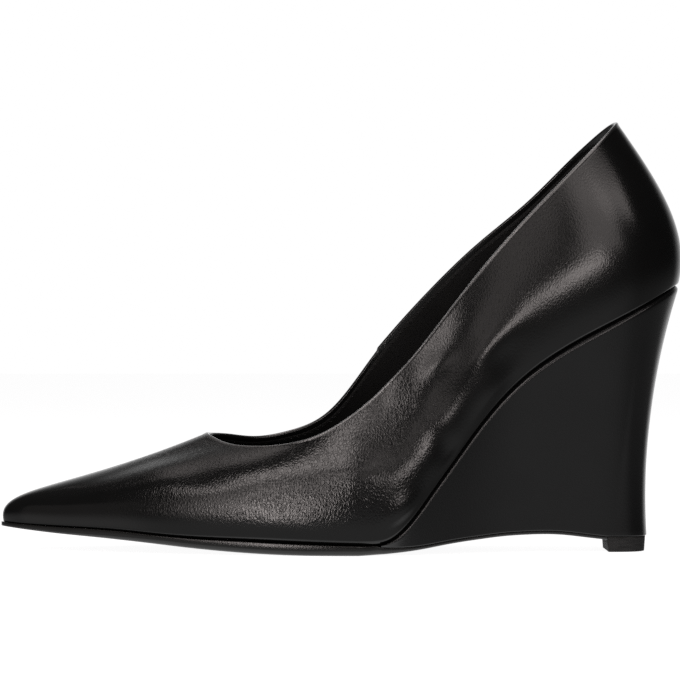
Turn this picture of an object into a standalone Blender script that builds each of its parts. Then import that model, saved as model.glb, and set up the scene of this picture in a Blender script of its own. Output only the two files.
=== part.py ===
"""Left shoe: a pointed pump on a covered wedge heel, built from the shoemaker's own pieces.

Tables are in millimetres at the drafted size, objects in metres.  X runs from the toe (-) to
the heel (+), Y from the outer or lateral side (-) to the inner or medial side (+), Z up from
the floor.
"""
import bpy
import bmesh
import numpy as np

MM = 0.001

# Sizes of this shoe.
LENGTH = 238.0
BALL_WIDTH = 70.0
HEEL_HEIGHT = 93.0
# Sizes at which the tables below were drafted.
DRAFT_LENGTH = 238.0
DRAFT_BALL_WIDTH = 70.0
DRAFT_HEEL_HEIGHT = 93.0

WALL = 1.6
LAP_STEP = 0.7
LAP_RAMP = 0.6
LAP_FADE = 7.0
SEAT_GAP = 0.3
INSOLE_THICK = 2.4
INSOLE_CLEARANCE = 0.4
SOLE_MARGIN = 0.8
WEDGE_MARGIN = 0.5
WEDGE_FRONT = 14.0
WEDGE_HOLLOW_SIDE = 0.8
WEDGE_HOLLOW_BACK = 6.0
SOLE_INSET = 0.3
TOP_PIECE_FRONT = 93.6
TOP_PIECE_HEIGHT = 5.2
TOP_PIECE_TAPER = 0.4
BACK_SQUARENESS = 2.6

COLUMNS_PER_SECTION = 5
WALL_ROWS = 13
WEDGE_ROWS = 8
STATIONS = 44
DENSE = 2400
PROBE = 0.05
PROBE_SHARE = 0.002
WELD = 0.002

SCALE = {
    "x": LENGTH / DRAFT_LENGTH,
    "y": BALL_WIDTH / DRAFT_BALL_WIDTH,
    "z": HEEL_HEIGHT / DRAFT_HEEL_HEIGHT,
}

# The upper's wall, a row for each section round the last, from the heel back along the lateral
# side to the toe and home along the medial side.  The feather edge is where the wall meets the
# bottom, the top edge is the topline.  The wall leaves the feather edge with a rise and an
# outward flare, and comes into the topline along the pull (share of the way back to that lower
# guide), raised by the lift.
SECTION_COLUMNS = "feather_x feather_y top_x top_y top_z rise_z flare_y pull lift_z".split()
SECTIONS = [
    ("heel back", 118.3, 0.0, 96.9, 0.0, 150.0, 19.0, 5.4, 0.52, 0.0),
    ("lateral heel", 110.9, -15.0, 93.6, -8.6, 146.2, 19.0, 4.8, 0.51, 0.0),
    ("lateral seat", 96.0, -22.4, 83.2, -16.8, 135.5, 19.0, 4.0, 0.50, 0.0),
    ("lateral quarter", 76.0, -25.2, 67.0, -21.6, 119.0, 19.0, 3.6, 0.50, 0.0),
    ("lateral waist back", 56.0, -27.5, 49.5, -24.8, 99.4, 18.0, 3.2, 0.50, 0.0),
    ("lateral waist", 37.0, -31.3, 33.5, -26.4, 79.0, 17.0, 3.2, 0.50, 0.0),
    ("lateral waist front", 17.0, -35.6, 17.0, -27.6, 59.4, 17.0, 3.4, 0.50, 0.0),
    ("lateral ball", -6.0, -35.9, -4.0, -27.6, 43.0, 15.0, 4.0, 0.50, 1.0),
    ("lateral vamp back", -31.0, -32.4, -18.5, -25.0, 38.1, 15.0, 3.8, 0.55, 2.0),
    ("lateral vamp", -58.0, -26.4, -30.5, -19.4, 37.1, 14.6, 3.4, 0.58, 2.0),
    ("lateral vamp front", -85.0, -15.8, -39.5, -11.6, 38.1, 14.4, 3.0, 0.60, -1.8),
    ("lateral toe side", -106.0, -5.4, -44.3, -4.8, 40.0, 13.5, 3.0, 0.65, -6.8),
    ("lateral toe", -115.6, 0.6, -45.8, -1.6, 40.8, 13.0, 3.3, 0.67, -8.3),
    ("toe tip", -118.4, 4.8, -46.2, 1.2, 41.2, 13.0, 3.5, 0.67, -8.8),
    ("medial toe", -115.6, 9.2, -45.8, 4.0, 41.1, 13.0, 3.3, 0.67, -8.3),
    ("medial toe side", -106.0, 14.4, -44.3, 7.4, 40.9, 13.5, 3.0, 0.65, -6.8),
    ("medial vamp front", -85.0, 22.6, -39.0, 13.2, 40.4, 14.4, 3.0, 0.60, -1.8),
    ("medial vamp", -58.0, 31.0, -29.5, 19.4, 39.4, 14.6, 3.4, 0.58, 2.0),
    ("medial vamp back", -31.0, 35.6, -18.0, 23.4, 41.4, 15.0, 3.8, 0.55, 2.0),
    ("medial ball", -6.0, 34.6, -4.5, 25.0, 48.0, 15.0, 4.0, 0.50, 1.0),
    ("medial waist front", 17.0, 28.7, 13.0, 24.0, 69.8, 17.0, 3.4, 0.50, 0.0),
    ("medial waist", 37.0, 24.4, 31.0, 22.5, 90.6, 17.0, 3.2, 0.50, 0.0),
    ("medial waist back", 56.0, 23.4, 48.5, 21.6, 107.6, 18.0, 3.2, 0.50, 0.0),
    ("medial quarter", 76.0, 24.0, 66.0, 19.7, 122.3, 19.0, 3.6, 0.50, 0.0),
    ("medial seat", 96.0, 22.8, 82.2, 15.4, 138.2, 19.0, 4.0, 0.50, 0.0),
    ("medial heel", 110.9, 15.0, 93.7, 7.4, 148.4, 19.0, 4.8, 0.51, 0.0),
]
SEAM_SECTION = "medial waist front"

# Height of the feather edge along the shoe: toe spring, tread, shank slope, heel seat.
FEATHER_COLUMNS = "x z".split()
FEATHER_PROFILE = [
    ("toe tip", -119.0, 9.7),
    ("toe", -104.0, 8.8),
    ("toe back", -90.0, 8.3),
    ("vamp front", -76.0, 7.6),
    ("vamp", -62.0, 6.35),
    ("vamp back", -48.0, 5.4),
    ("ball front", -34.0, 4.8),
    ("ball", -20.0, 4.2),
    ("tread", -6.0, 3.7),
    ("tread back", 6.0, 3.4),
    ("wedge tip", 12.0, 3.5),
    ("shank foot", 16.0, 4.3),
    ("shank bend", 20.2, 7.0),
    ("shank low", 25.6, 12.8),
    ("shank", 32.2, 21.9),
    ("shank middle", 38.8, 31.0),
    ("shank high", 44.7, 39.2),
    ("waist", 50.6, 46.9),
    ("waist back", 57.0, 54.2),
    ("seat front", 64.0, 60.8),
    ("seat", 72.0, 66.8),
    ("seat middle", 80.0, 71.8),
    ("seat back", 91.5, 78.0),
    ("heel", 103.0, 84.0),
    ("heel back", 119.0, 93.0),
]

# The outsole's two faces along the shoe.  In front of the wedge its top follows the feather
# edge; behind, it thins to a sheet under the arch, and the last row is the top piece's seat.
BOTTOM_COLUMNS = "x ground_z under_z".split()
BOTTOM_PROFILE = [
    ("tread back", 6.0, 0.0, 2.90),
    ("wedge tip", 14.0, 0.45, 2.75),
    ("arch front", 21.0, 1.1, 2.65),
    ("arch low", 28.0, 2.0, 3.15),
    ("arch", 35.0, 3.2, 4.25),
    ("arch rise", 42.0, 4.25, 5.30),
    ("arch middle", 49.0, 5.1, 6.15),
    ("arch high", 56.0, 5.85, 6.90),
    ("arch top", 63.0, 6.25, 7.30),
    ("arch crown", 70.0, 6.4, 7.45),
    ("arch back", 77.0, 6.1, 7.15),
    ("heel breast", 85.0, 5.15, 6.20),
    ("heel front", 93.0, 4.2, 5.20),
]
TOE_COLUMNS = "x ground_z".split()
TOE_SPRING = [
    ("toe tip", -119.4, 8.3),
    ("toe", -101.0, 6.45),
    ("toe back", -83.5, 5.2),
    ("vamp", -66.0, 3.7),
    ("vamp back", -48.0, 1.95),
    ("ball front", -31.0, 0.7),
    ("ball", -18.0, 0.15),
    ("tread", -10.0, 0.0),
]

# The wedge's lower outline, where it stands on the outsole and the top piece.
FOOT_COLUMNS = "x lateral_y medial_y".split()
WEDGE_FOOT = [
    ("wedge tip", 14.0, -35.6, 30.1),
    ("arch front", 22.0, -33.5, 27.8),
    ("arch low", 31.0, -30.2, 24.8),
    ("arch", 42.0, -25.9, 21.7),
    ("arch middle", 56.0, -21.2, 18.8),
    ("arch crown", 70.0, -17.9, 16.4),
    ("heel breast", 84.0, -15.2, 14.5),
    ("top piece", 95.0, -13.5, 13.3),
]
WEDGE_BACK = 107.3

LEATHER = (0.022, 0.022, 0.024)
COVER = (0.018, 0.018, 0.019)
SOCK = (0.012, 0.012, 0.013)
SOLE = (0.026, 0.025, 0.024)
RUBBER = (0.015, 0.015, 0.016)


def columns(names, rows):
    """Arrays by column name; a name that ends in x, y or z is scaled to this shoe."""
    table = np.array([row[1:] for row in rows], float).T
    return {name: values * SCALE.get(name[-1], 1.0) for name, values in zip(names, table)}


def spline(knots, values, at, closed=False):
    """Cubic through the rows with no jump in slope or bend, natural or joined at its ends."""
    gap = np.diff(knots)
    spans = len(gap)
    if closed:
        values = np.vstack([values, values[:1]])
    rate = np.diff(values, axis=0) / gap[:, None]
    size = spans if closed else spans + 1
    system = np.eye(size)
    load = np.zeros((size, values.shape[1]))
    for row in range(0 if closed else 1, spans):
        before = gap[row - 1]
        system[row, row] = 2 * (before + gap[row])
        system[row, row - 1] += before
        system[row, (row + 1) % size] += gap[row]
        load[row] = 6 * (rate[row] - rate[row - 1])
    bend = np.linalg.solve(system, load)
    span = np.clip(np.searchsorted(knots, at, "right") - 1, 0, spans - 1)
    after = (span + 1) % size
    width = gap[span][:, None]
    left = (knots[span + 1] - at)[:, None] / width
    right = 1 - left
    curve = left * values[span] + right * values[span + 1]
    sag = (left ** 3 - left) * bend[span] + (right ** 3 - right) * bend[after]
    return curve + sag * width ** 2 / 6


feather_rows = columns(FEATHER_COLUMNS, FEATHER_PROFILE)
bottom_rows = columns(BOTTOM_COLUMNS, BOTTOM_PROFILE)
toe_rows = columns(TOE_COLUMNS, TOE_SPRING)
foot_rows = columns(FOOT_COLUMNS, WEDGE_FOOT)
sections = columns(SECTION_COLUMNS, SECTIONS)
section_table = np.array([sections[name] for name in SECTION_COLUMNS]).T

feather_step = np.diff(section_table[:, :2], axis=0, append=section_table[:1, :2])
top_step = np.diff(section_table[:, 2:5], axis=0, append=section_table[:1, 2:5])
step = (np.linalg.norm(feather_step, axis=1) + np.linalg.norm(top_step, axis=1)) / 2
section_knots = np.concatenate([[0.0], np.cumsum(step)])
AROUND = section_knots[-1]
SEAM = section_knots[[row[0] for row in SECTIONS].index(SEAM_SECTION)]


def feather_height(x):
    """Height of the feather edge at x."""
    return spline(feather_rows["x"], feather_rows["z"][:, None], x)[:, 0]


def below_feather(x, depth):
    """Points of the feather profile moved straight off its line by depth, downwards if positive."""
    slope = (feather_height(x + PROBE) - feather_height(x - PROBE)) / (2 * PROBE)
    run = np.sqrt(1 + slope ** 2)
    return x + depth * slope / run, feather_height(x) - depth / run


def section_values(around):
    """All section columns at places round the shoe."""
    return spline(section_knots, section_table, around % AROUND, closed=True)


def feather_plan(around):
    """The feather edge in plan and its outward direction."""
    foot = section_values(around)[:, :2]
    ahead = section_values(around + PROBE)[:, :2] - section_values(around - PROBE)[:, :2]
    ahead /= np.linalg.norm(ahead, axis=1)[:, None]
    return foot, np.column_stack([-ahead[:, 1], ahead[:, 0]])


def wall_surface(around, up):
    """The last: a cubic from feather edge to topline at each place round the shoe."""
    values = section_values(around)
    foot, out = feather_plan(around)
    start = np.column_stack([foot, feather_height(foot[:, 0])])
    top = values[:, 2:5]
    rise, flare, pull, lift = values[:, 5:].T
    low = start + np.column_stack([out * flare[:, None], rise])
    high = top + (low - top) * pull[:, None]
    high[:, 2] += lift
    share = up[None, :, None]
    rest = 1 - share
    guides = [guide[:, None, :] for guide in (start, low, high, top)]
    weights = (rest ** 3, 3 * rest ** 2 * share, 3 * rest * share ** 2, share ** 3)
    return sum(weight * guide for weight, guide in zip(weights, guides))


def wall_normals(around, up):
    """Outward directions of the last, from short steps both ways along it."""
    along = wall_surface(around + PROBE, up) - wall_surface(around - PROBE, up)
    inside = np.clip(up, PROBE_SHARE, 1 - PROBE_SHARE)
    rising = wall_surface(around, inside + PROBE_SHARE) - wall_surface(around, inside - PROBE_SHARE)
    normal = np.cross(rising, along)
    return normal / np.linalg.norm(normal, axis=2)[:, :, None]


def outline(offset):
    """Feather edge in plan moved out by offset: its two ends in x, and both sides as y at x."""
    foot, out = feather_plan(np.linspace(0, AROUND, DENSE, endpoint=False))
    x, y = (foot + offset * out).T
    first = int(np.argmax(x))
    x = np.append(np.roll(x, -first), x[first])
    y = np.append(np.roll(y, -first), y[first])
    tip = int(np.argmin(x))

    def sides(at):
        lateral = np.interp(at, x[tip::-1], y[tip::-1])
        medial = np.interp(at, x[tip:], y[tip:])
        return lateral, medial
    return x[tip], x[0], sides


def stations(start, end, count):
    """Places from start to end, closer together towards both."""
    return start + (end - start) * (1 - np.cos(np.pi * np.arange(count + 1) / count)) / 2


def add_piece(name, points, faces, colour, roughness):
    """One closed object with its own material, from points in millimetres."""
    mesh = bpy.data.meshes.new(name)
    mesh.from_pydata((np.asarray(points) * MM).tolist(), [], faces)
    work = bmesh.new()
    work.from_mesh(mesh)
    bmesh.ops.remove_doubles(work, verts=work.verts, dist=WELD * MM)
    bmesh.ops.triangulate(work, faces=work.faces)
    bmesh.ops.recalc_face_normals(work, faces=work.faces)
    work.to_mesh(mesh)
    work.free()
    material = bpy.data.materials.new(name)
    material.use_nodes = True
    shader = material.node_tree.nodes["Principled BSDF"]
    shader.inputs["Base Color"].default_value = (*colour, 1.0)
    shader.inputs["Roughness"].default_value = roughness
    shader.inputs["Metallic"].default_value = 0.0
    mesh.materials.append(material)
    piece = bpy.data.objects.new(name, mesh)
    bpy.context.collection.objects.link(piece)
    return piece


def strip_faces(first, second, loop=False):
    """Quads between two rows of point numbers."""
    count = len(first) if loop else len(first) - 1
    turn = [(k + 1) % len(first) for k in range(count)]
    return [(first[k], first[n], second[n], second[k]) for k, n in enumerate(turn)]


def slab(top_x, top_sides, top_z, low_x, low_sides, low_z):
    """Closed solid between an upper and a lower face, each flat from side to side at each x."""
    count = len(top_x)
    rows = []
    for x, y, z in ((top_x, top_sides[0], top_z), (top_x, top_sides[1], top_z),
                    (low_x, low_sides[1], low_z), (low_x, low_sides[0], low_z)):
        rows.append(np.column_stack([x, y, z]))
    numbers = [list(range(k * count, (k + 1) * count)) for k in range(4)]
    faces = []
    for k in range(4):
        faces += strip_faces(numbers[k], numbers[(k + 1) % 4])
    faces.append(tuple(row[0] for row in numbers))
    faces.append(tuple(row[-1] for row in reversed(numbers)))
    return np.vstack(rows), faces


for old in list(bpy.data.objects):
    bpy.data.objects.remove(old, do_unlink=True)

# Upper: one shell of leather, vamp and quarters, open along the topline and underneath.  The
# quarter laps over the vamp at the medial side seam, which is a step in the wall.
shares = np.arange(COLUMNS_PER_SECTION) / COLUMNS_PER_SECTION
around = (section_knots[:-1, None] + np.diff(section_knots)[:, None] * shares).ravel()
around = np.sort(np.append(around, SEAM + LAP_RAMP))
up = np.linspace(0, 1, WALL_ROWS)
last = wall_surface(around, up)
normals = wall_normals(around, up)
past = np.clip(around - SEAM, 0, None)
lap = LAP_STEP * np.clip(past / LAP_RAMP, 0, 1) * np.exp(-past / LAP_FADE)
outer = last + normals * lap[:, None, None]
inner = last - normals * WALL
count = len(around)
grid = np.arange(count * WALL_ROWS).reshape(count, WALL_ROWS)
faces = []
for shell in (grid, grid + grid.size):
    for row in range(WALL_ROWS - 1):
        faces += strip_faces(shell[:, row].tolist(), shell[:, row + 1].tolist(), loop=True)
for row in (0, WALL_ROWS - 1):
    rim = grid[:, row]
    faces += strip_faces(rim.tolist(), (rim + grid.size).tolist(), loop=True)
points = np.vstack([outer.reshape(-1, 3), inner.reshape(-1, 3)])
add_piece("upper", points, faces, LEATHER, 0.45)

# Insole: the covered board inside the upper, lying on the sole and the wedge.
toe, heel, sides = outline(-WALL - INSOLE_CLEARANCE)
x = stations(toe, heel, STATIONS)
board = sides(x)
low_x, low_z = below_feather(x, 0.0)
top_x, top_z = below_feather(x, -INSOLE_THICK)
points, faces = slab(top_x, board, top_z, low_x, board, low_z)
add_piece("insole", points, faces, SOCK, 0.7)


def ground_height(x):
    """Underside of the outsole: toe spring, a flat tread on the floor, then the arch."""
    spring = spline(toe_rows["x"], toe_rows["ground_z"][:, None], x)[:, 0]
    arch = spline(bottom_rows["x"], bottom_rows["ground_z"][:, None], x)[:, 0]
    spring = np.where(x < toe_rows["x"][-1], spring, 0.0)
    return np.where(x > bottom_rows["x"][0], arch, spring).clip(0.0)


def under_height(x):
    """Upper face of the outsole behind the tread, level at the top piece's seat."""
    rear = spline(bottom_rows["x"], bottom_rows["under_z"][:, None], np.minimum(x, bottom_rows["x"][-1]))
    return rear[:, 0]


def wedge_foot(x):
    """The wedge's lower outline in plan: both sides, drawn in round the back."""
    rows = foot_rows["x"]
    lateral = spline(rows, foot_rows["lateral_y"][:, None], np.minimum(x, rows[-1]))[:, 0]
    medial = spline(rows, foot_rows["medial_y"][:, None], np.minimum(x, rows[-1]))[:, 0]
    past = np.clip((x - rows[-1]) / (WEDGE_BACK - rows[-1]), 0, 1)
    round_back = (1 - past ** BACK_SQUARENESS) ** (1 / BACK_SQUARENESS)
    return lateral * round_back, medial * round_back


# Outsole: leather, full width under the forefoot, a thin sheet up the arch to the top piece.
toe, heel, sides = outline(SOLE_MARGIN)
x = stations(toe, TOP_PIECE_FRONT - SEAT_GAP, STATIONS)
x = np.sort(np.concatenate([x, [toe_rows["x"][-1], bottom_rows["x"][0]]]))
tread = bottom_rows["x"][0]
blend = np.clip((x - tread) / (WEDGE_FRONT - tread), 0, 1)
blend = blend * blend * (3 - 2 * blend)
forepart = sides(x)
rear = wedge_foot(np.maximum(x, WEDGE_FRONT))
edge = (forepart[0] * (1 - blend) + (rear[0] + SOLE_INSET) * blend,
        forepart[1] * (1 - blend) + (rear[1] - SOLE_INSET) * blend)
front_z = feather_height(x) - SEAT_GAP
top_z = np.where(x < tread, front_z, under_height(np.maximum(x, tread)))
points, faces = slab(x, edge, top_z, x, edge, ground_height(x))
add_piece("outsole", points, faces, SOLE, 0.5)

# Wedge heel: a block covered in leather, its top carrying the seat and shank of the upper, its
# sides drawn in to the top piece, its back hollowed.
toe, heel, sides = outline(WEDGE_MARGIN)
high = stations(WEDGE_FRONT, heel, STATIONS)
low = stations(WEDGE_FRONT, WEDGE_BACK, STATIONS)
high_x, high_z = below_feather(high, SEAT_GAP)
high_y = sides(high)
low_y = wedge_foot(low)
low_z = under_height(low) + SEAT_GAP
top_loop = np.vstack([np.column_stack([high_x, high_y[0], high_z]),
                      np.column_stack([high_x, high_y[1], high_z])[-2::-1]])
foot_loop = np.vstack([np.column_stack([low, low_y[0], low_z]),
                       np.column_stack([low, low_y[1], low_z])[-2::-1]])
ahead = np.gradient((top_loop + foot_loop)[:, :2], axis=0)
ahead /= np.linalg.norm(ahead, axis=1)[:, None]
inward = np.column_stack([-ahead[:, 1], ahead[:, 0], np.zeros(len(ahead))])
tall = np.clip((top_loop - foot_loop)[:, 2:] / HEEL_HEIGHT, 0, 1)
hollow = WEDGE_HOLLOW_SIDE + (WEDGE_HOLLOW_BACK - WEDGE_HOLLOW_SIDE) * inward[:, :1] ** 2
hollow = inward * hollow * tall
chord = top_loop - foot_loop
guides = (foot_loop, foot_loop + chord / 3 + hollow, foot_loop + chord * 2 / 3 + hollow, top_loop)
rows = []
for share in np.linspace(0, 1, WEDGE_ROWS):
    weights = ((1 - share) ** 3, 3 * share * (1 - share) ** 2, 3 * share ** 2 * (1 - share), share ** 3)
    rows.append(sum(weight * guide for weight, guide in zip(weights, guides)))
count = len(top_loop)
half = STATIONS
numbers = np.arange(count * WEDGE_ROWS).reshape(WEDGE_ROWS, count)
faces = []
for row in range(WEDGE_ROWS - 1):
    faces += strip_faces(numbers[row].tolist(), numbers[row + 1].tolist())
for cap in (numbers[0], numbers[-1]):
    faces += strip_faces(cap[:half + 1].tolist(), cap[:half - 1:-1].tolist())
faces += strip_faces(numbers[:, 0].tolist(), numbers[:, -1].tolist())
add_piece("wedge_heel", np.vstack(rows), faces, COVER, 0.5)

# Top piece: the rubber lift under the heel, with a straight breast and a rounded back.
x = stations(TOP_PIECE_FRONT, WEDGE_BACK, STATIONS // 3)
lateral, medial = wedge_foot(x)
middle = (TOP_PIECE_FRONT + WEDGE_BACK) / 2
low_x = middle + (x - middle) * (1 - TOP_PIECE_TAPER / (WEDGE_BACK - middle))
narrow = 1 - TOP_PIECE_TAPER / medial.max()
flat = np.zeros(len(x))
points, faces = slab(x, (lateral, medial), flat + TOP_PIECE_HEIGHT,
                     low_x, (lateral * narrow, medial * narrow), flat)
add_piece("top_piece", points, faces, RUBBER, 0.7)
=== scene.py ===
"""Looks of a left pump on a covered wedge heel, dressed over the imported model.

Tables are in millimetres in the shoe's own frame: X runs from the toe (-) to the heel (+), Y from
the outer or lateral side (-) to the inner or medial side (+), Z up from the floor.
"""

import bmesh
import bpy
import numpy as np
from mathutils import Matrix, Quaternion, Vector


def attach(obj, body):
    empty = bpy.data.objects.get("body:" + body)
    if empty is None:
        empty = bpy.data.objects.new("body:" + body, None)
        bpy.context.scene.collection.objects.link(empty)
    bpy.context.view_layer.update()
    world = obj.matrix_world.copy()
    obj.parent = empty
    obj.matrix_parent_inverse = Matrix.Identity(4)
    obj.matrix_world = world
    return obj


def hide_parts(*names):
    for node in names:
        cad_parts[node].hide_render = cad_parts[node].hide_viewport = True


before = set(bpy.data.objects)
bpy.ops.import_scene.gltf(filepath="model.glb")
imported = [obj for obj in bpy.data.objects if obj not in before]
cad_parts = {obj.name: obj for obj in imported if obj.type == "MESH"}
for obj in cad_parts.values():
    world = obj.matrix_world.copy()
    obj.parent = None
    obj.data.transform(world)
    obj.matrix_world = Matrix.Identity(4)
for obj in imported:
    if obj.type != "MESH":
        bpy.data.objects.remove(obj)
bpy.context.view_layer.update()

# Upper: one shell of soft black nappa, vamp and quarters, the quarter lapped over the vamp at the
# medial side.  It is pulled over the last and turned in at the feather edge, where it is cemented
# down; its top edge is folded over and burnished.  Soft folds lie at the ball and the waist.
MM = 0.001
EDGE_ROLL = 0.7
EDGE_BEAD = 0.18
EDGE_BEAD_DEPTH = 1.3
BURNISH_IOR = 2.2
BURNISH_ROUGHNESS = 0.3
LAP_STEP = 0.7
LAP_RAMP = 0.6
LAP_FADE = 7.0
LAP_RISE = 0.8
LAP_RISE_CURVE = 6
QUARTER_PULL = 0.80
UPPER_COLUMNS = 560
LAP_COLUMNS = 9
TURN_ROWS = 9
WALL_ROWS = 96
ROLL_ROWS = 11
INSIDE_ROWS = 22
INSIDE_END = 2
PROBE = 0.05
WELD = 0.002

# Where things fade, from and to: burnish below the top and round the fold (in radians), folds
# above the feather edge and, inside, by share of the wall; tight leather along x and above the
# feather edge.
BURNISH_DEPTH = (0.8, 1.2)
BURNISH_TURN = (1.2, 1.9)
FOLD_FREE = (2.0, 7.0)
FOLD_FREE_INSIDE = (0.12, 0.3)
TIGHT_TOE = (-62.0, -96.0)
TIGHT_QUARTER = (8.0, 40.0)
TIGHT_FOOT = (4.0, 11.0)

# A row for each section round the last, from the heel back along the lateral side to the toe and
# home along the medial side: feather edge x and y, topline x, y and z, then how the wall leaves
# the feather edge (rise, flare) and comes into the topline (pull, lift).
LAST_SECTIONS = [
    ("heel back", 118.3, 0.0, 96.9, 0.0, 150.0, 19.0, 5.4, 0.52, 0.0),
    ("lateral heel", 110.9, -15.0, 93.6, -8.6, 146.2, 19.0, 4.8, 0.51, 0.0),
    ("lateral seat", 96.0, -22.4, 83.2, -16.8, 135.5, 19.0, 4.0, 0.50, 0.0),
    ("lateral quarter", 76.0, -25.2, 67.0, -21.6, 119.0, 19.0, 3.6, 0.50, 0.0),
    ("lateral waist back", 56.0, -27.5, 49.5, -24.8, 99.4, 18.0, 3.2, 0.50, 0.0),
    ("lateral waist", 37.0, -31.3, 33.5, -26.4, 79.0, 17.0, 3.2, 0.50, 0.0),
    ("lateral waist front", 17.0, -35.6, 17.0, -27.6, 59.4, 17.0, 3.4, 0.50, 0.0),
    ("lateral ball", -6.0, -35.9, -4.0, -27.6, 43.0, 15.0, 4.0, 0.50, 1.0),
    ("lateral vamp back", -31.0, -32.4, -18.5, -25.0, 38.1, 15.0, 3.8, 0.55, 2.0),
    ("lateral vamp", -58.0, -26.4, -30.5, -19.4, 37.1, 14.6, 3.4, 0.58, 2.0),
    ("lateral vamp front", -85.0, -15.8, -39.5, -11.6, 38.1, 14.4, 3.0, 0.60, -1.8),
    ("lateral toe side", -106.0, -5.4, -44.3, -4.8, 40.0, 13.5, 3.0, 0.65, -6.8),
    ("lateral toe", -115.6, 0.6, -45.8, -1.6, 40.8, 13.0, 3.3, 0.67, -8.3),
    ("toe tip", -118.4, 4.8, -46.2, 1.2, 41.2, 13.0, 3.5, 0.67, -8.8),
    ("medial toe", -115.6, 9.2, -45.8, 4.0, 41.1, 13.0, 3.3, 0.67, -8.3),
    ("medial toe side", -106.0, 14.4, -44.3, 7.4, 40.9, 13.5, 3.0, 0.65, -6.8),
    ("medial vamp front", -85.0, 22.6, -39.0, 13.2, 40.4, 14.4, 3.0, 0.60, -1.8),
    ("medial vamp", -58.0, 31.0, -29.5, 19.4, 39.4, 14.6, 3.4, 0.58, 2.0),
    ("medial vamp back", -31.0, 35.6, -18.0, 23.4, 41.4, 15.0, 3.8, 0.55, 2.0),
    ("medial ball", -6.0, 34.6, -4.5, 25.0, 48.0, 15.0, 4.0, 0.50, 1.0),
    ("medial waist front", 17.0, 28.7, 13.0, 24.0, 69.8, 17.0, 3.4, 0.50, 0.0),
    ("medial waist", 37.0, 24.4, 31.0, 22.5, 90.6, 17.0, 3.2, 0.50, 0.0),
    ("medial waist back", 56.0, 23.4, 48.5, 21.6, 107.6, 18.0, 3.2, 0.50, 0.0),
    ("medial quarter", 76.0, 24.0, 66.0, 19.7, 122.3, 19.0, 3.6, 0.50, 0.0),
    ("medial seat", 96.0, 22.8, 82.2, 15.4, 138.2, 19.0, 4.0, 0.50, 0.0),
    ("medial heel", 110.9, 15.0, 93.7, 7.4, 148.4, 19.0, 4.8, 0.51, 0.0),
]
SIDE_SEAM = "medial waist front"

# Height z of the feather edge at x: toe spring, tread, shank slope, heel seat.
FEATHER_PROFILE = np.array([
    (-119.0, 9.7), (-104.0, 8.8), (-90.0, 8.3), (-76.0, 7.6), (-62.0, 6.35), (-48.0, 5.4),
    (-34.0, 4.8), (-20.0, 4.2), (-6.0, 3.7), (6.0, 3.4), (12.0, 3.5), (16.0, 4.3),
    (20.2, 7.0), (25.6, 12.8), (32.2, 21.9), (38.8, 31.0), (44.7, 39.2), (50.6, 46.9),
    (57.0, 54.2), (64.0, 60.8), (72.0, 66.8), (80.0, 71.8), (91.5, 78.0), (103.0, 84.0),
    (119.0, 93.0),
])

# Radius of the turn at the feather edge, at x: tight at the toe, fullest over the shank.
TURN_IN = np.array([
    (-119.0, 0.15), (-110.0, 0.4), (-100.0, 0.7), (-60.0, 1.3), (-25.0, 1.9), (5.0, 1.9),
    (25.0, 2.2), (55.0, 2.2), (80.0, 1.8), (119.0, 1.4),
])

# Folds, each a soft mound or hollow in side view: its side, height (below 0 for a trough), half
# width, half length, the angle its length makes with the floor, and its middle's x and z.
LATERAL, MEDIAL = -1, 1
FOLDS = [
    ("vamp ridge", LATERAL, 0.40, 5.0, 11.0, 0.0, -64.0, 28.0),
    ("vamp trough", LATERAL, -0.50, 5.0, 11.0, 0.0, -46.0, 26.5),
    ("tread hollow", LATERAL, -0.30, 5.0, 11.0, 0.0, -19.0, 19.0),
    ("ball ridge", LATERAL, 0.45, 8.0, 12.0, 95.0, 6.0, 27.0),
    ("ball puff", LATERAL, 0.40, 5.0, 11.0, 0.0, 8.0, 28.0),
    ("ball hollow", LATERAL, -0.30, 5.0, 11.0, 0.0, 8.0, 38.0),
    ("tread rib", LATERAL, 0.35, 6.0, 9.0, 75.0, 18.5, 24.0),
    ("tread pucker", LATERAL, 0.85, 4.5, 7.5, 40.0, 21.5, 15.4),
    ("shank pinch", LATERAL, -0.40, 5.0, 11.0, -45.0, 35.0, 37.0),
    ("shank dimple", LATERAL, -0.25, 4.0, 8.0, 60.0, 34.5, 52.0),
    ("topline lip", LATERAL, 0.65, 6.0, 8.0, 45.0, 17.5, 60.5),
    ("shank bulge", LATERAL, 0.70, 7.5, 11.0, -80.0, 50.5, 59.0),
    ("topline puff", LATERAL, 0.45, 3.5, 7.0, 45.0, 34.0, 65.0),
    ("topline swell", LATERAL, 0.18, 5.0, 9.0, 50.0, 43.0, 77.0),
    ("quarter roll", LATERAL, 0.45, 5.0, 11.0, 45.0, 53.0, 73.0),
    ("quarter crease", LATERAL, -0.35, 5.0, 11.0, 45.0, 53.0, 64.0),
    ("waist ridge inside", MEDIAL, 0.55, 5.0, 17.0, 52.0, 14.0, 52.0),
    ("waist trough inside", MEDIAL, -0.55, 4.2, 18.0, 47.0, 25.0, 54.0),
    ("shank ridge inside", MEDIAL, 0.45, 4.0, 11.0, 52.0, 29.0, 41.0),
    ("ball crease inside", MEDIAL, -0.30, 2.4, 5.0, -53.0, 11.0, 26.0),
    ("throat trough inside", MEDIAL, -0.30, 3.4, 20.0, 8.0, -46.0, 28.0),
]


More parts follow.
